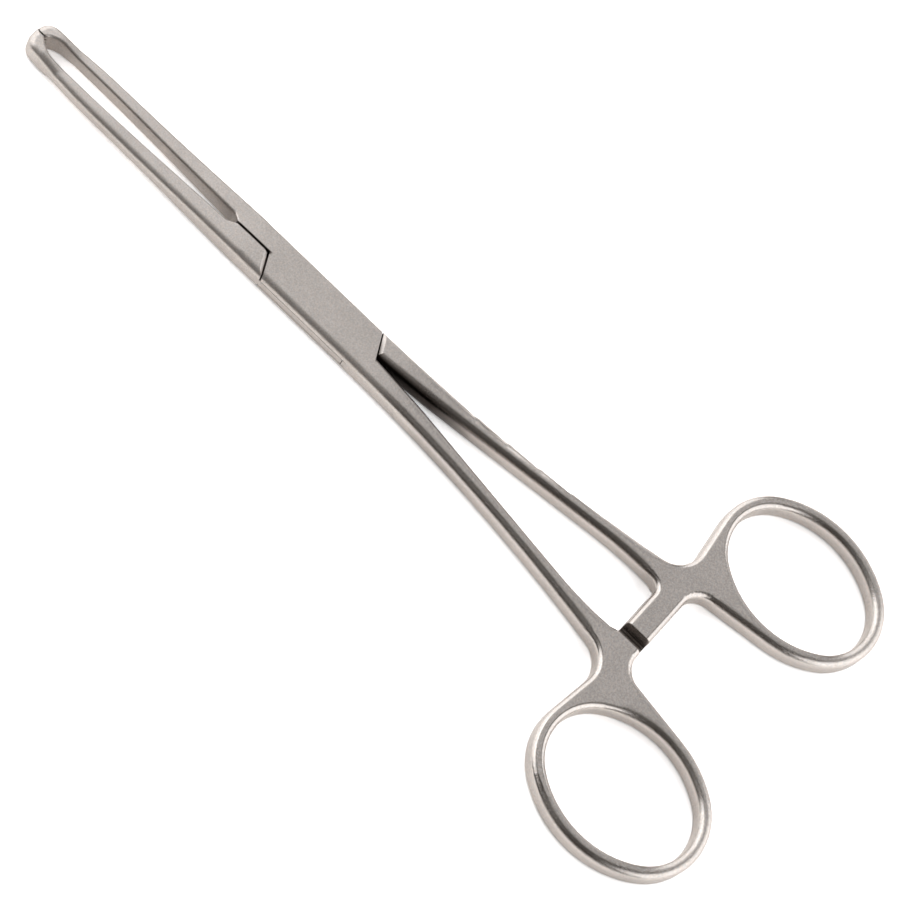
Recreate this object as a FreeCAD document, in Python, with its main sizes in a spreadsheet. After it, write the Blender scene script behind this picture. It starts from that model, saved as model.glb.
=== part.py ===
import FreeCAD, Part
import math
import os
import Sketcher
from FreeCAD import Vector

# Tissue forceps with a box lock, closed, lying flat. Millimetres.
# The origin is on the joint pin's axis at the underside of the box.
# Y runs to the jaw tips, the male handle is on the +X side, Z is up.
# Both halves share one outline. Its X counts as positive on the side of the half's own handle.

doc = FreeCAD.newDocument("tissue_forceps")
sheet = doc.addObject("Spreadsheet::Sheet", "Sizes")

sizes = [
    # the stock and the box lock
    ("stockThickness", 3.8),
    ("boxWidth", 8.1),
    ("boxEdge", 8.95),
    ("boxMiddle", 11.1),
    ("tongueEdge", 8.07),
    ("tongueThickness", 1.16),
    ("tonguePlay", 0.05),
    ("tongueEndPlay", 0.15),
    ("shoulderGap", 0.3),
    ("shoulderBevel", 0.55),
    ("shoulderBevelDrop", 0.3),
    ("slitGap", 0.28),
    # the pin
    ("pinRadius", 1.25),
    ("pinPlay", 0.04),
    ("pinFlare", 0.3),
    # the jaws
    ("jawReach", 59.5),
    ("tipHalfWidth", 2.88),
    ("tipCornerRadius", 2.3),
    ("tipLand", 1.5),
    ("windowTopWall", 3.0),
    ("windowHalfWidth", 1.52),
    ("windowTopRadius", 4.3),
    ("windowRootHalfWidth", 0.85),
    ("windowRoot", 17.7),
    ("bladeHalfWidth", 3.84),
    ("bladeBendHalfWidth", 3.62),
    ("bladeBendLength", 12.0),
    ("bladeHeight", 2.74),
    ("bladeTaperStart", 14.0),
    ("bladeTaperEnd", 33.0),
    ("tipHeadLength", 3.5),
    ("tipFlareLength", 3.8),
    # the jaw teeth
    ("toothPitch", 0.84),
    ("toothDepth", 0.6),
    ("toothGap", 0.3),
    # the shanks
    ("shankOuterBend", 33.0),
    ("shankOuterRadius", 300.0),
    ("shankInnerBend", 21.5),
    ("shankInnerStep", 1.0),
    ("shankElbow", 57.0),
    ("shankElbowX", 5.45),
    # the finger rings
    ("ringX", 23.2),
    ("ringY", 80.45),
    ("ringWidth", 24.6),
    ("ringLength", 30.1),
    ("ringEndInset", 1.4),
    ("ringWall", 2.2),
    ("holeShift", 0.12),
    ("crotchX", 9.9),
    ("crotchDrop", 1.65),
    ("crotchRadius", 4.7),
    ("webX", 9.1),
    ("webRadius", 3.5),
    # the ratchet
    ("barFront", 65.2),
    ("barWidth", 4.5),
    ("barReach", 3.0),
    ("barCornerRadius", 1.8),
    ("rootWall", 5.4),
    ("ratchetGap", 0.2),
    ("ratchetPitch", 0.56),
    ("ratchetDepth", 0.4),
    # the rounding along the edges
    ("boxRounding", 1.15),
    ("shankRounding", 1.1),
    ("ringRounding", 0.95),
    ("barRounding", 0.9),
    ("tipRounding", 1.1),
    ("bladeRounding", 0.95),
    ("windowRounding", 0.4),
]
for row, (alias, value) in enumerate(sizes, start=1):
    sheet.set("A%d" % row, alias)
    sheet.set("B%d" % row, str(value))
    sheet.setAlias("B%d" % row, alias)
doc.recompute()


def size(alias):
    return float(sheet.get(alias))


thickness = size("stockThickness")
halfBox = size("boxWidth") / 2
middle = thickness / 2
beyond = 2.0


# Point where a line from p touches the circle round centre. turn picks the side.
def touch(p, centre, radius, turn):
    away = p - centre
    angle = math.atan2(away.y, away.x) + turn * math.acos(radius / away.Length)
    return centre + Vector(math.cos(angle), math.sin(angle), 0) * radius


# A finger ring is an oval of four arcs. The hole is the same oval, inset by the ring's wall.
class Oval:
    def __init__(self, centre, inset):
        self.centre = centre
        self.across = size("ringWidth") / 2 - inset
        self.along = size("ringLength") / 2 - inset
        self.endRadius = self.across - size("ringEndInset")
        rise = self.along - self.endRadius
        top = self.across ** 2 + rise ** 2 - self.endRadius ** 2
        self.sideRadius = top / (2 * (self.across - self.endRadius))
        self.endCentre = centre + Vector(0, rise, 0)
        self.sideCentre = centre + Vector(self.sideRadius - self.across, 0, 0)

    # the points where the arcs meet, from the upper left round by the lower end
    def joints(self):
        away = (self.endCentre - self.sideCentre).normalize() * self.endRadius
        corner = self.endCentre - self.centre + away
        signs = ((1, 1), (1, -1), (-1, -1), (-1, 1))
        return [self.centre + Vector(x * corner.x, y * corner.y, 0) for x, y in signs]

    def middles(self):
        spots = ((-self.across, 0), (0, -self.along), (self.across, 0), (0, self.along))
        return [self.centre + Vector(x, y, 0) for x, y in spots]

    def closed(self):
        joints, middles = self.joints(), self.middles()
        return [Part.Arc(joints[i], middles[i], joints[(i + 1) % 4]) for i in range(4)]

    # from a point on the near side round the lower end and the far side to a point at the upper end
    def outside(self, first, last):
        joints, middles = self.joints(), self.middles()
        pieces = [arcRound(self.sideCentre, first, joints[1])]
        pieces += [Part.Arc(joints[i], middles[i], joints[i + 1]) for i in (1, 2)]
        return pieces + [arcRound(self.endCentre, joints[3], last)]


# The shorter arc round a centre.
def arcRound(centre, start, end):
    radius = (start - centre).Length
    middleWay = ((start - centre) + (end - centre)).normalize() * radius
    return Part.Arc(start, centre + middleWay, end)


# Lines and arcs along a path of (x, y, corner radius) points.
def rounded(path, closed):
    corners = [(Vector(x, y, 0), radius) for x, y, radius in path]
    cuts = []
    for index, (corner, radius) in enumerate(corners):
        before = corners[index - 1][0]
        after = corners[(index + 1) % len(corners)][0]
        inside = 0 < index < len(corners) - 1
        if radius == 0 or not (closed or inside):
            cuts.append((corner, None, corner))
            continue
        back = (before - corner).normalize()
        ahead = (after - corner).normalize()
        halfAngle = math.acos(max(-1, min(1, back.dot(ahead)))) / 2
        step = radius / math.tan(halfAngle)
        bisector = (back + ahead).normalize()
        centre = corner + bisector * (radius / math.sin(halfAngle))
        cuts.append((corner + back * step, centre - bisector * radius, corner + ahead * step))
    pieces = []
    for index, (start, mid, end) in enumerate(cuts):
        if mid is not None:
            pieces.append(Part.Arc(start, mid, end))
        if index + 1 < len(cuts) or closed:
            pieces.append(Part.LineSegment(end, cuts[(index + 1) % len(cuts)][0]))
    return pieces


def newBody(name, base=None):
    body = doc.addObject("PartDesign::Body", name)
    body.Label = name
    if base is not None:
        body.BaseFeature = base
    return body


# turn tilts the sketch's plane about its own second axis.
def newSketch(body, name, role, offset, pieces, turn=0):
    sketch = body.newObject("Sketcher::SketchObject", name)
    for feature in body.Origin.OriginFeatures:
        if feature.Role == role:
            sketch.AttachmentSupport = [(feature, "")]
    sketch.MapMode = "FlatFace"
    sketch.AttachmentOffset = FreeCAD.Placement(Vector(0, 0, offset), FreeCAD.Rotation(Vector(0, 1, 0), turn))
    sketch.addGeometry(pieces, False)
    return sketch


# Adds or removes a sketch's shape and makes sure that it did something.
def extrude(body, kind, name, sketch, rule, reverse=False, symmetric=False):
    doc.recompute()
    before = body.Shape.Volume if kind == "Pocket" else 0
    feature = body.newObject("PartDesign::" + kind, name)
    feature.Profile = sketch
    feature.Reversed = reverse
    feature.Midplane = symmetric
    feature.setExpression("Length", rule)
    doc.recompute()
    changed = body.Shape.Volume - before
    if (changed < 1e-3) if kind == "Pad" else (changed > -1e-4):
        raise ValueError(name + " changes nothing")
    return feature


# The outline that both halves share. end and slack set where the box's sloped ends lie.
def outline(end, slack):
    bevelEnd = size("boxMiddle") - slack
    lap = size("toothDepth") / 2
    slit = size("slitGap") / 2
    land = size("jawReach") - size("tipLand")
    barRear = size("barFront") + size("barWidth")
    ring = Oval(Vector(size("ringX"), -size("ringY"), 0), 0)
    crotch = Vector(size("crotchX"), size("ringLength") / 2 - size("ringY") - size("crotchDrop"), 0)
    web = Vector(size("webX"), -barRear, 0)
    start = touch(crotch, ring.endCentre, ring.endRadius, -1)
    stop = touch(web, ring.sideCentre, ring.sideRadius, 1)
    path = [
        (start.x, start.y, 0),
        (crotch.x, crotch.y, size("crotchRadius")),
        (halfBox, -size("shankOuterBend"), size("shankOuterRadius")),
        (halfBox, end, 0),
        (-slit, bevelEnd, 0),
        (-slit, size("windowRoot"), 0),
        (-size("windowRootHalfWidth"), size("windowRoot") + 1.3, 0.8),
        (-size("windowHalfWidth") + 0.02, 44, 350),
        (-size("windowHalfWidth"), size("jawReach") - size("windowTopWall"), size("windowTopRadius")),
        (lap, land, 0),
        (lap, size("jawReach"), 0),
        (-size("tipHalfWidth"), size("jawReach"), size("tipCornerRadius")),
        (-size("bladeBendHalfWidth"), size("jawReach") - size("bladeBendLength"), 60),
        (-size("bladeHalfWidth"), 26, 100),
        (-halfBox, 12, 15),
        (-halfBox, -end, 0),
        (0.1, -bevelEnd, 0),
        (size("shankInnerStep"), -size("shankInnerBend"), 50),
        (size("shankElbowX"), -size("shankElbow"), 60),
        (size("shankElbowX"), -size("barFront"), size("barCornerRadius")),
        (-size("barReach") - beyond, -size("barFront"), 0),
        (-size("barReach") - beyond, -barRear, 0),
        (web.x, web.y, size("webRadius")),
        (stop.x, stop.y, 0),
    ]
    return rounded(path, False) + ring.outside(stop, start)


# hand is 1 for the half with its handle on the +X side and -1 for the other.
def handed(pieces, hand):
    if hand < 0:
        for piece in pieces:
            piece.mirror(Vector(0, 0, 0), Vector(0, 1, 0))
    return pieces


# How much the long edges are rounded at a place on the outline.
def rounding(x, y):
    if y > size("windowRoot") - 1:
        inside = abs(x) < size("windowHalfWidth") + 0.05 and y < size("jawReach") - 0.1
        atTip = y > size("jawReach") - size("tipHeadLength") - 0.5
        outside = size("tipRounding") if atTip else size("bladeRounding")
        return size("windowRounding") if inside or x > 0 else outside
    if y > -size("shankElbow") - 4:
        inside = 0 < x < size("shankElbowX") + 0.5 and y < -size("boxEdge")
        return size("shankRounding") if inside else size("boxRounding")
    if x > size("webX") - 1:
        return min(size("ringRounding"), 0.45 * size("ringWall"))
    return size("barRounding")


# Half of the forceps before the lock and the teeth are cut: flat stock with rounded edges.
def makeBlank(name, hand, end, slack):
    body = newBody(name)
    sketch = newSketch(body, name + "_outline", "XY_Plane", 0, handed(outline(end, slack), hand))
    extrude(body, "Pad", name + "_stock", sketch, "Sizes.stockThickness")

    hole = Oval(Vector(size("ringX"), -size("ringY") - size("holeShift"), 0), size("ringWall"))
    sketch = newSketch(body, name + "_hole", "XY_Plane", thickness, handed(hole.closed(), hand))
    extrude(body, "Pocket", name + "_finger_hole", sketch, "Sizes.stockThickness")

    # the blades are forged thinner than the box and swell again at the tips
    step = (thickness - size("bladeHeight")) / 2
    far = size("jawReach") + beyond
    flareEnd = size("jawReach") - size("tipHeadLength")
    for side in (0, 1):
        base = thickness * side
        sign = 1 - 2 * side
        profile = [
            (size("bladeTaperStart") - 2, base, 0),
            (size("bladeTaperStart"), base, 60),
            (size("bladeTaperEnd"), base + sign * step, 150),
            (flareEnd - size("tipFlareLength"), base + sign * step, 8),
            (flareEnd, base, 3),
            (far, base, 0),
            (far, base - sign * beyond, 0),
            (size("bladeTaperStart") - 2, base - sign * beyond, 0),
        ]
        label = name + ("_under" if side == 0 else "_over")
        sketch = newSketch(body, label, "YZ_Plane", 0, rounded(profile, True))
        extrude(body, "Pocket", label + "_side", sketch, "Sizes.boxWidth * 2", symmetric=True)
    return body


# Rounds the long edges over and under. The box's sloped ends, the slit and the jaws' contact stay sharp.
def roundEdges(name, body, hand):
    picked = []
    for index, edge in enumerate(body.Shape.Edges, start=1):
        first, last = [edge.valueAt(at) for at in (edge.FirstParameter, edge.LastParameter)]
        span = last - first
        upright = abs(span.x) + abs(span.y) < 1e-6
        across = abs(span.x) > 1 and abs(span.y) < 0.05 and 0 < first.y < size("jawReach") - 0.1
        nearBox = max(abs(first.y), abs(last.y)) < size("boxMiddle") + 0.01
        boxEnd = nearBox and halfBox - 0.3 < abs(span.x) < halfBox + 0.3
        slit = abs(span.x) < 1e-6 and abs(first.x) < size("windowRootHalfWidth") - 0.1 and first.y > 0
        if upright or across or boxEnd or slit:
            continue
        picked.append((index, rounding(hand * first.x, first.y), rounding(hand * last.x, last.y)))
    fillet = doc.addObject("Part::Fillet", name)
    fillet.Base = body
    fillet.Edges = picked
    doc.recompute()
    return fillet


# The sloped end of the box in the half's own outline, moved away from the pin by slack.
def slopedEnd(x, edge, slack):
    middleY = size("boxMiddle")
    return middleY + slack + x * (middleY - edge) / halfBox


# The room that the box's plates take up in the half with the tongue, larger than the plates by slack.
def plateRoom(slack):
    far = halfBox + beyond
    edge = size("boxEdge")
    outer, inner = slopedEnd(-far, edge, slack), slopedEnd(1, edge, slack)
    room = [(-far, outer), (1, inner), (far, inner), (far, -outer), (-1, -inner), (-far, -inner)]
    return [(x, y, 0) for x, y in room]


def finish(body, label):
    doc.recompute()
    body.Label = label
    return body


# The half with the box: a slot for the other half's tongue runs through it.
def makeFemale():
    blank = makeBlank("female_blank", -1, size("boxEdge"), 0)
    fillet = roundEdges("female_rounded", blank, -1)
    body = newBody("female_half", fillet)
    doc.recompute()

    # the slot's ends slope the other way from the box's ends
    far = halfBox + beyond
    edge = size("tongueEdge")
    slot = [
        (far, slopedEnd(-far, edge, 0), 0),
        (0, size("boxMiddle"), 0),
        (-far, size("boxMiddle") + 1, 0),
        (-far, -slopedEnd(-far, edge, 0), 0),
        (0, -size("boxMiddle"), 0),
        (far, -size("boxMiddle") - 1, 0),
    ]
    sketch = newSketch(body, "female_slot", "XY_Plane", middle, rounded(slot, True))
    rule = "Sizes.tongueThickness + 2 * Sizes.tonguePlay"
    extrude(body, "Pocket", "female_through_slot", sketch, rule, symmetric=True)

    pin = Part.Circle(Vector(0, 0, 0), Vector(0, 0, 1), size("pinRadius"))
    sketch = newSketch(body, "female_pin", "XY_Plane", thickness, [pin])
    number = sketch.addConstraint(Sketcher.Constraint("Radius", 0, size("pinRadius")))
    sketch.setExpression("Constraints[%d]" % number, "Sizes.pinRadius")
    extrude(body, "Pocket", "female_pin_hole", sketch, "Sizes.stockThickness")
    rims = []
    for index, edge in enumerate(body.Shape.Edges, start=1):
        if not edge.isClosed() or abs(edge.BoundBox.Center.y) > 0.1:
            continue
        if abs(abs(edge.BoundBox.Center.z - middle) - middle) < 1e-3:
            rims.append("Edge%d" % index)
    drilled = body.Tip
    flare = body.newObject("PartDesign::Chamfer", "female_pin_flare")
    flare.Base = (drilled, rims)
    flare.setExpression("Size", "Sizes.pinFlare")
    cutBar(body, -1)
    cutTipTeeth(body, -1)
    return finish(body, "female_half")


# The half with the tongue: over and under it the box's plates need room.
def makeMale():
    play = size("tongueEndPlay")
    blank = makeBlank("male_blank", 1, size("tongueEdge") - play, play)
    fillet = roundEdges("male_rounded", blank, 1)
    body = newBody("male_half", fillet)
    doc.recompute()

    gap = size("shoulderGap")
    rule = "(Sizes.stockThickness - Sizes.tongueThickness) / 2"
    for name, level, reverse in (("male_lower_plate", 0, True), ("male_upper_plate", thickness, False)):
        sketch = newSketch(body, name, "XY_Plane", level, rounded(plateRoom(gap), True))
        extrude(body, "Pocket", name + "_room", sketch, rule, reverse=reverse)

    # the shoulders slope down a little to the box, seen here along them
    slope = math.atan2(size("boxMiddle") - size("boxEdge"), halfBox)
    foot = (size("boxMiddle") + gap) * math.cos(slope)
    level = middle - size("shoulderBevelDrop")
    wedges = []
    for end in (1, -1):
        for side in (1, -1):
            wedge = [
                (foot + size("shoulderBevel"), middle),
                (foot, level),
                (foot - gap / 2, level),
                (foot - gap / 2, middle + beyond),
                (foot + size("shoulderBevel"), middle + beyond),
            ]
            wedges += rounded([(end * out, middle + side * up, 0) for out, up in wedge], True)
    sketch = newSketch(body, "male_shoulders", "YZ_Plane", 0, wedges, math.degrees(slope))
    extrude(body, "Pocket", "male_shoulder_bevels", sketch, "Sizes.boxWidth * 2", symmetric=True)

    bore = Part.Circle(Vector(0, 0, 0), Vector(0, 0, 1), size("pinRadius") + size("pinPlay"))
    sketch = newSketch(body, "male_pin", "XY_Plane", thickness, [bore])
    number = sketch.addConstraint(Sketcher.Constraint("Radius", 0, bore.Radius))
    sketch.setExpression("Constraints[%d]" % number, "Sizes.pinRadius + Sizes.pinPlay")
    extrude(body, "Pocket", "male_pin_hole", sketch, "Sizes.stockThickness")
    cutBar(body, 1)
    cutTipTeeth(body, 1)
    return finish(body, "male_half")


# Each ratchet bar keeps its own half of the thickness, with teeth on the inner side.
def cutBar(body, hand):
    name = "male" if hand > 0 else "female"
    front = -size("barFront") + 1.0
    rear = -size("barFront") - size("barWidth") - 1.0
    wall = size("rootWall")
    reach = -size("barReach") - beyond - 1.0
    end = -size("barReach")
    tail = [(end, front, 0), (reach, front, 0), (reach, rear, 0), (end, rear, 0)]
    sketch = newSketch(body, name + "_bar_tail", "XY_Plane", thickness, handed(rounded(tail, True), hand))
    extrude(body, "Pocket", name + "_bar_end", sketch, "Sizes.stockThickness")

    room = [(wall, front, 0), (reach, front, 0), (reach, rear, 0), (wall, rear, 0)]
    level = 0 if hand > 0 else thickness
    sketch = newSketch(body, name + "_bar_room", "XY_Plane", level, handed(rounded(room, True), hand))
    rule = "(Sizes.stockThickness + Sizes.ratchetGap) / 2"
    extrude(body, "Pocket", name + "_bar_relief", sketch, rule, reverse=hand > 0)

    pitch = size("ratchetPitch")
    face = middle + hand * size("ratchetGap") / 2
    first = -size("barReach") + 0.4
    count = int((wall - first - 0.2) / pitch)
    grooves = []
    for number in range(count):
        start = first + number * pitch
        groove = [
            (start, face - hand * 0.3, 0),
            (start, face, 0),
            (start + 0.08 * pitch, face + hand * size("ratchetDepth"), 0),
            (start + 0.92 * pitch, face, 0),
            (start + 0.92 * pitch, face - hand * 0.3, 0),
        ]
        grooves += rounded(groove, True)
    sketch = newSketch(body, name + "_notches", "XZ_Plane", -rear, handed(grooves, hand))
    extrude(body, "Pocket", name + "_ratchet_teeth", sketch, "Sizes.barWidth + 2")


# The tips meet in ridges that point across, one jaw's ridges between the other's.
def cutTipTeeth(body, hand):
    name = "male" if hand > 0 else "female"
    pitch = size("toothPitch")
    swing = size("toothDepth") / 2
    shift = size("toothGap") / 2
    steps = int(middle / pitch * 2) + 2
    zigzag = []
    for step in range(-steps, steps + 1):
        side = 1 if step % 2 == 0 else -1
        zigzag.append((hand * side * swing - shift, middle + step * pitch / 2, 0))
    zigzag.append((2, zigzag[-1][1], 0))
    zigzag.append((2, zigzag[0][1], 0))
    sketch = newSketch(body, name + "_tip_teeth", "XZ_Plane", -size("jawReach") - 1,
                       handed(rounded(zigzag, True), hand))
    extrude(body, "Pocket", name + "_tip_teeth_cut", sketch, "Sizes.tipLand + 2", reverse=True)


# The pin is ground flush and its ends are spread into the plates.
def makePin():
    body = newBody("joint_pin")
    radius = size("pinRadius")
    flare = size("pinFlare")
    half = [
        (0, 0, 0),
        (radius + flare, 0, 0),
        (radius, flare, 0),
        (radius, thickness - flare, 0),
        (radius + flare, thickness, 0),
        (0, thickness, 0),
    ]
    sketch = newSketch(body, "pin_profile", "XZ_Plane", 0, rounded(half, True))
    turned = body.newObject("PartDesign::Revolution", "pin_turned")
    turned.Profile = sketch
    turned.ReferenceAxis = (sketch, ["V_Axis"])
    turned.Angle = 360
    return finish(body, "joint_pin")


parts = [makeFemale(), makeMale(), makePin()]
doc.recompute()
for item in doc.Objects:
    if "Invalid" in item.State or "Error" in item.State:
        raise ValueError(item.Name + " failed")
for part in parts:
    if part.Shape.isNull() or not part.Shape.isValid() or len(part.Shape.Solids) != 1:
        raise ValueError(part.Label + " is not one sound solid")

os.makedirs("parts", exist_ok=True)
for part in parts:
    part.Shape.exportStep("parts/" + part.Label + ".step")
    print(part.Label, round(part.Shape.Volume, 2), part.Shape.BoundBox)
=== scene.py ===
import math

import bpy
from mathutils import Matrix, Vector

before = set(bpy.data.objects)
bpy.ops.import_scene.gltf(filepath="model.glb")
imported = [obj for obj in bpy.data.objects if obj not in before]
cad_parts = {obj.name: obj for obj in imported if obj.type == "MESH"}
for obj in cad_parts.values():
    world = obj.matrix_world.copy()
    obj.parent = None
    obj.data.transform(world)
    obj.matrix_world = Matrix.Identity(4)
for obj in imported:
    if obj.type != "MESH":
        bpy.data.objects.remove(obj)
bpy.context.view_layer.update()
print("frame loaded")

# Places are metres in the part's own frame, from the joint pin: +Y to the jaw tips, +Z up.


# A shader value that takes part in Python sums, each one a Math node.
class Value:
    def __init__(self, tree, socket):
        self.tree = tree
        self.socket = socket

    def math(self, operation, *others):
        node = self.tree.nodes.new("ShaderNodeMath")
        node.operation = operation
        for index, item in enumerate((self,) + others):
            if isinstance(item, Value):
                self.tree.links.new(item.socket, node.inputs[index])
            else:
                node.inputs[index].default_value = item
        return Value(self.tree, node.outputs[0])

    def __add__(self, other):
        return self.math("ADD", other)

    def __radd__(self, other):
        return self.math("ADD", other)

    def __sub__(self, other):
        return self.math("SUBTRACT", other)

    def __rsub__(self, other):
        return (self * -1).math("ADD", other)

    def __mul__(self, other):
        return self.math("MULTIPLY", other)

    def __rmul__(self, other):
        return self.math("MULTIPLY", other)

    def __abs__(self):
        return self.math("ABSOLUTE")

    # 0 at start, 1 at stop, straight between and held beyond. start may be the larger one.
    def ramp(self, start, stop):
        share = (self - start) * (1 / (stop - start))
        return share.math("MAXIMUM", 0.0).math("MINIMUM", 1.0)


class Shader:
    def __init__(self, tree):
        self.tree = tree
        tree.nodes.clear()

    # Any node: its settings first, then its inputs by name or number.
    def node(self, kind, settings=None, inputs=None):
        node = self.tree.nodes.new("ShaderNode" + kind)
        for name, value in (settings or {}).items():
            setattr(node, name, value)
        for name, value in (inputs or {}).items():
            if isinstance(value, Value):
                self.tree.links.new(value.socket, node.inputs[name])
            else:
                node.inputs[name].default_value = value
        return node

    def value(self, kind, output=0, settings=None, inputs=None):
        return Value(self.tree, self.node(kind, settings, inputs).outputs[output])

    # first where the factor is 0, second where it is 1
    def mixColor(self, factor, first, second):
        return self.value("Mix", 2, {"data_type": "RGBA"}, {0: factor, 6: first, 7: second})

    def mixVector(self, factor, first, second):
        return self.value("Mix", 1, {"data_type": "VECTOR"}, {0: factor, 4: first, 5: second})

    def noise(self, place, scale, detail):
        return self.value("TexNoise", "Fac", None, {"Vector": place, "Scale": scale, "Detail": detail})

    # 1 in the open and 0 where other faces close in within reach
    def openness(self, reach):
        return self.value("AmbientOcclusion", "AO", {"samples": steel["gapSamples"]}, {"Distance": reach})


def colorOf(rgb):
    return (rgb[0], rgb[1], rgb[2], 1.0)


def greyOf(level):
    return (level, level, level, 1.0)


steel = {
    "warmColor": (0.680, 0.622, 0.580),
    "coolColor": (0.654, 0.621, 0.598),
    "hueScale": 2600.0,
    "hueEdge": (0.35, 0.65),  # of the noise, where one colour becomes the other
    "speckle": 0.32,  # how much of the colour the speckle and the clouds take away at most
    "speckleShare": 0.75,  # the rest of it is the clouds
    "speckleScale": 4600.0,
    "cloudScale": 160.0,
    "spotEdge": (0.3, 0.7),
    "boxRoughness": 0.42,
    "shankRoughness": 0.26,
    "grainScale": (9000.0, 900.0, 9000.0),
    "grainDrift": 0.05,  # of the roughness
    "cloudDrift": 0.04,
    "bump": 0.00000035,
    "grainHeight": 0.5,  # beside the speckle's 1
    "softness": 0.0016,  # how far the shading is smoothed over the edges of shanks and rings
    "softSamples": 8,
    # dark colour for the painted shade in crevices and in the wedge, and for the lines of the lock and the
    # jaw seam
    "shadeAndJointColor": (0.045, 0.034, 0.028),
    # painted shade where other faces close in: how far it looks, and how open a place is where the shade is
    # full and where it is gone
    "shadeReach": 0.0007,
    "shadeOpen": (0.25, 0.6),  # how open a place is where it is dark and where it is clear
    # painted shade in the wedge between the shanks
    "wedgeReach": 0.004,
    "wedgeOpen": (0.62, 1.0),
    "gapSamples": 12,
    "ribLight": 0.9,  # how much more open the ratchet bars count as
    "slotLine": 0.7,  # how strongly the lines of the lock are drawn
    "jawSeam": 0.85,
}

# Where the finish changes. A pair is where a feature is still absent and where it is full. The widths,
# flankEnds and seamOut are the other way round: where it is still full and where it is gone.
zones = {
    "shankIn": (-0.013, -0.020),  # along y
    "barsIn": (-0.0615, -0.0625),
    "barsOut": (-0.0735, -0.0725),
    "wedgeIn": (-0.0095, -0.011),
    "wedgeOut": (-0.036, -0.022),
    "wedgeWidth": (0.0010, 0.0018),  # across, and it opens by wedgeSpread for each step along y
    "wedgeSpread": 0.12,
    "middle": 0.0019,  # height of the slot's middle
    "slotHalf": 0.00060,  # from there up and down to the slot's lines
    "slotWidth": (0.00003, 0.00007),
    "flankIn": (0.0035, 0.0038),
    "flankEnds": (0.0086, 0.0089),
    "seamWidth": (0.00022, 0.00028),
    "seamIn": (0.0106, 0.0109),
    "seamOut": (0.0178, 0.0182),
}


# Two steel colours mixed by a fine noise, times 1 less the speckle and the slow clouds, then mixed to a dark
# colour: as painted shade where the surroundings close in and in the wedge between the shanks, and as dark
# lines along the lines of the lock.
def steelTone(shader, place, axes, bars, speckle, cloud):
    x, y, z = axes
    shadeAndJoint = colorOf(steel["shadeAndJointColor"])
    hue = shader.noise(place, steel["hueScale"], 1.0).ramp(*steel["hueEdge"])
    spots = speckle.ramp(*steel["spotEdge"]) * steel["speckleShare"]
    drift = cloud.ramp(*steel["spotEdge"]) * (1.0 - steel["speckleShare"])
    metal = shader.mixColor(hue, colorOf(steel["warmColor"]), colorOf(steel["coolColor"]))
    tone = shader.mixColor(1.0 - (spots + drift) * steel["speckle"], greyOf(0.0), metal)

    # painted shade: the colour goes dark where other faces close in within reach, in gaps, in the ratchet and
    # by the floor; the ribs of the ratchet bars keep more of their light
    near = shader.openness(steel["shadeReach"])
    lit = (near * (1.0 + bars * steel["ribLight"])).ramp(*steel["shadeOpen"])
    tone = shader.mixColor(lit, shadeAndJoint, tone)

    # painted shade: between the shanks, close behind the box, hardly any light comes back
    deep = shader.openness(steel["wedgeReach"])
    inner = 1.0 - (abs(x) + y * zones["wedgeSpread"]).ramp(*zones["wedgeWidth"])
    wedge = y.ramp(*zones["wedgeIn"]) * y.ramp(*zones["wedgeOut"]) * inner
    tone = shader.mixColor(wedge * (1.0 - deep.ramp(*steel["wedgeOpen"])), tone, shadeAndJoint)

    # the two lines of the slot along both sides of the box
    line = 1.0 - abs(abs(z - zones["middle"]) - zones["slotHalf"]).ramp(*zones["slotWidth"])
    flank = abs(x).ramp(*zones["flankIn"]) * (1.0 - abs(y).ramp(*zones["flankEnds"]))
    tone = shader.mixColor(line * flank * steel["slotLine"], tone, shadeAndJoint)

    # the seam between the jaws, from the box's front shoulder to the window. It also darkens the faces that
    # meet there, which shows when the jaws are open.
    seam = 1.0 - abs(x).ramp(*zones["seamWidth"])
    root = y.ramp(*zones["seamIn"]) * (1.0 - y.ramp(*zones["seamOut"]))
    return shader.mixColor(seam * root * steel["jawSeam"], tone, shadeAndJoint)


# The normal smoothed over the edges on shanks and rings and the plain one elsewhere, then bumped by the grain
# times its height plus the speckle.
def steelNormal(shader, shank, bars, grain, speckle):
    softened = shader.value("Bevel", 0, {"samples": steel["softSamples"]}, {"Radius": steel["softness"]})
    plain = shader.value("NewGeometry", "Normal")
    normal = shader.mixVector(shank * (1.0 - bars), plain, softened)
    height = (grain * steel["grainHeight"] + speckle) * steel["bump"]
    inputs = {"Height": height, "Strength": 1.0, "Distance": 1.0, "Normal": normal}
    return shader.value("Bump", 0, None, inputs)


# Metal all over. Its roughness goes from the box's to the shanks' and drifts with the grain and the clouds.
def makeSteel(name):
    material = bpy.data.materials.new(name)
    material.use_nodes = True
    shader = Shader(material.node_tree)
    place = shader.value("TexCoord", "Object")
    along = shader.value("Mapping", 0, None, {0: place, "Scale": steel["grainScale"]})
    grain = shader.noise(along, 1.0, 3.0)
    speckle = shader.noise(place, steel["speckleScale"], 2.0)
    cloud = shader.noise(place, steel["cloudScale"], 3.0)
    split = shader.node("SeparateXYZ", None, {0: place})
    axes = [Value(shader.tree, split.outputs[axis]) for axis in "XYZ"]
    y = axes[1]
    shank = y.ramp(*zones["shankIn"])
    bars = y.ramp(*zones["barsIn"]) * y.ramp(*zones["barsOut"])

    finish = steel["boxRoughness"] + shank * (steel["shankRoughness"] - steel["boxRoughness"])
    rough = finish + (grain - 0.5) * steel["grainDrift"] + (cloud - 0.5) * steel["cloudDrift"]
    surface = shader.node("BsdfPrincipled", None, {
        "Base Color": steelTone(shader, place, axes, bars, speckle, cloud),
        "Metallic": 1.0,
        "Roughness": rough,
        "Normal": steelNormal(shader, shank, bars, grain, speckle),
    })
    output = shader.node("OutputMaterial")
    shader.tree.links.new(surface.outputs[0], output.inputs[0])
    return material


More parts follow.
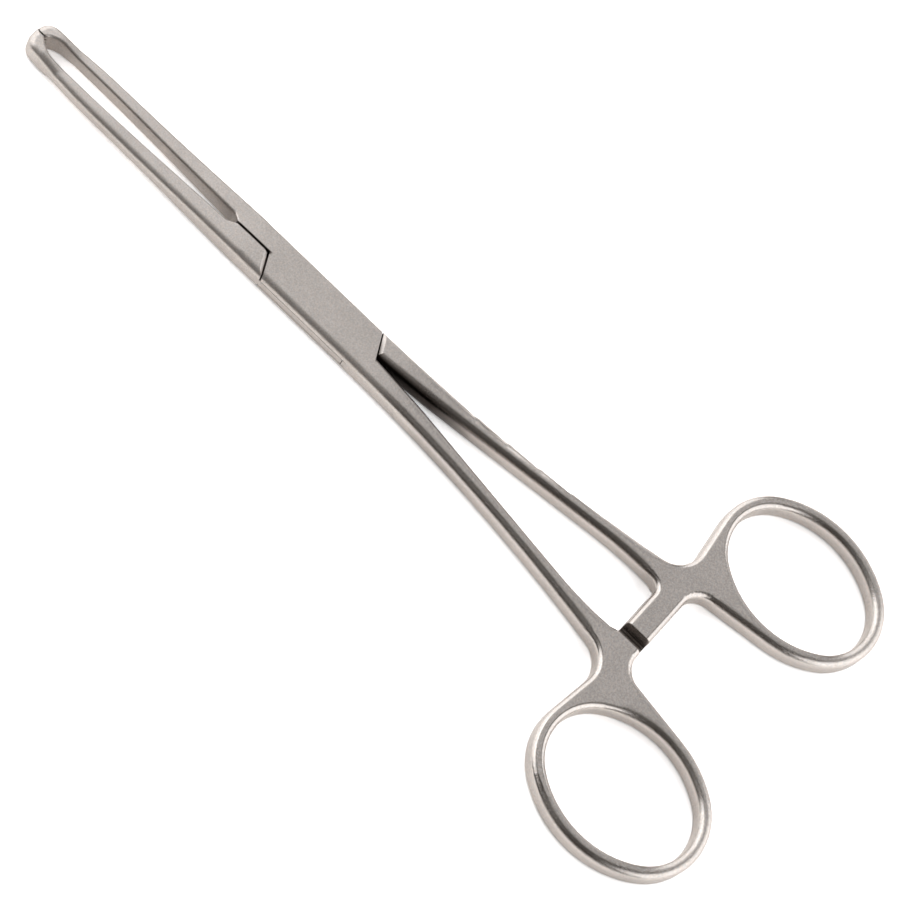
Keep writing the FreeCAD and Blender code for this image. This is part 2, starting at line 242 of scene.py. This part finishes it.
floor = {
    "size": 3.0,
    "drop": 0.00002,  # below the part, so that the two faces don't fight
    "color": (0.80, 0.79, 0.78),
    "seenColor": (1.95, 1.95, 1.97),
    "seenGlow": 0.22,
    "mirrorColor": (1.46, 1.43, 1.40),
    "mirrorGlow": 0.05,
}


# A flat square. It is lit as usual, but what the camera sees of it is lifted to white, and what the steel
# mirrors a little less.
def makeFloor():
    half = floor["size"] / 2
    corners = [(-half, -half, 0), (half, -half, 0), (half, half, 0), (-half, half, 0)]
    mesh = bpy.data.meshes.new("floor")
    mesh.from_pydata(corners, [], [(0, 1, 2, 3)])
    plane = bpy.data.objects.new("floor", mesh)
    bpy.context.scene.collection.objects.link(plane)
    plane.location.z = -floor["drop"]
    material = bpy.data.materials.new("floor")
    material.use_nodes = True
    shader = Shader(material.node_tree)
    seen = shader.value("LightPath", "Is Camera Ray")
    mirror = shader.value("LightPath", "Is Glossy Ray")
    color = shader.mixColor(mirror, colorOf(floor["color"]), colorOf(floor["mirrorColor"]))
    color = shader.mixColor(seen, color, colorOf(floor["seenColor"]))
    shine = shader.mixColor(mirror, greyOf(0.0), greyOf(floor["mirrorGlow"]))
    shine = shader.mixColor(seen, shine, greyOf(floor["seenGlow"]))
    paper = shader.value("BsdfDiffuse", 0, None, {"Color": color})
    glow = shader.value("Emission", 0, None, {"Color": shine, "Strength": 1.0})
    both = shader.node("AddShader", None, {0: paper, 1: glow})
    output = shader.node("OutputMaterial")
    shader.tree.links.new(both.outputs[0], output.inputs[0])
    mesh.materials.append(material)


world = {
    "seen": (1.0, 1.0, 1.0),
    "light": (0.057, 0.049, 0.043),
}


# White behind the part, dim and warm in what it lights and what the steel mirrors.
def makeWorld():
    scene = bpy.context.scene
    scene.world = bpy.data.worlds.new("studio")
    scene.world.use_nodes = True
    shader = Shader(scene.world.node_tree)
    seen = shader.value("LightPath", "Is Camera Ray")
    color = shader.mixColor(seen, colorOf(world["light"]), colorOf(world["seen"]))
    background = shader.node("Background", None, {"Color": color, "Strength": 1.0})
    output = shader.node("OutputWorld")
    shader.tree.links.new(background.outputs[0], output.inputs[0])


# Soft lamps on a sphere: azimuth in degrees from +X towards +Y, radiance is what the steel sees in them.
lampCentre = (0.0, -0.02, 0.0)
lampDistance = 0.9
lamps = {
    "ceiling": {"azimuth": 2, "elevation": 63, "size": (0.50, 0.68), "radiance": 0.62},
    "far": {"azimuth": -10, "elevation": 14, "size": (0.58, 0.72), "radiance": 0.70},
    "tipSide": {"azimuth": 72, "elevation": 30, "size": (1.90, 0.98), "radiance": 1.75},
    "ringSide": {"azimuth": 281, "elevation": 29, "size": (1.84, 0.94), "radiance": 1.75},
    "overTips": {"azimuth": 84, "elevation": 56, "size": (0.70, 0.40), "radiance": 0.90},
    "cameraSide": {"azimuth": 140, "elevation": 52, "size": (0.8, 0.8), "radiance": 0.15},
}


# The unit vector at an azimuth from +X towards +Y and an elevation over the floor, both in degrees.
def directionAt(azimuth, elevation):
    turn = math.radians(azimuth)
    rise = math.radians(elevation)
    return Vector((math.cos(turn) * math.cos(rise), math.sin(turn) * math.cos(rise), math.sin(rise)))


# Each rectangle faces the centre, and its power is radiance times pi times its area.
def makeLamps():
    for name, lamp in lamps.items():
        data = bpy.data.lights.new(name, "AREA")
        data.shape = "RECTANGLE"
        data.size, data.size_y = lamp["size"]
        data.energy = lamp["radiance"] * math.pi * data.size * data.size_y
        thing = bpy.data.objects.new(name, data)
        bpy.context.scene.collection.objects.link(thing)
        away = directionAt(lamp["azimuth"], lamp["elevation"])
        thing.location = Vector(lampCentre) + away * lampDistance
        thing.rotation_euler = away.to_track_quat("Z", "Y").to_euler()


camera = {
    "target": (-0.000894, -0.028592, 0.0),
    "elevation": 60.0,
    "azimuth": 3.77,  # of the way it looks
    "roll": 40.574,
    "distance": 0.43776,
    "lens": 117.34,
    "sensor": 36.0,
}


# Stands back from the target against the way it looks and is rolled, so that the tips go to the upper left.
def makeCamera():
    data = bpy.data.cameras.new("camera")
    data.lens = camera["lens"]
    data.sensor_width = camera["sensor"]
    thing = bpy.data.objects.new("camera", data)
    scene = bpy.context.scene
    scene.collection.objects.link(thing)
    back = -directionAt(camera["azimuth"], -camera["elevation"])
    right = (-back).cross(Vector((0, 0, 1))).normalized()
    up = right.cross(-back)
    roll = math.radians(camera["roll"])
    across = right * math.cos(roll) + up * math.sin(roll)
    upright = up * math.cos(roll) - right * math.sin(roll)
    place = Vector(camera["target"]) + back * camera["distance"]
    rotation = Matrix((across, upright, back)).transposed().to_4x4()
    thing.matrix_world = Matrix.Translation(place) @ rotation
    scene.camera = thing


makeFloor()
makeWorld()
makeLamps()
makeCamera()
print("stage set")

satin = makeSteel("satin_steel")
for name in ("female_half", "male_half", "joint_pin"):
    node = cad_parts[name]
    node.data.materials.clear()
    node.data.materials.append(satin)
print("steel on the halves")

bpy.context.scene.view_settings.view_transform = "Standard"
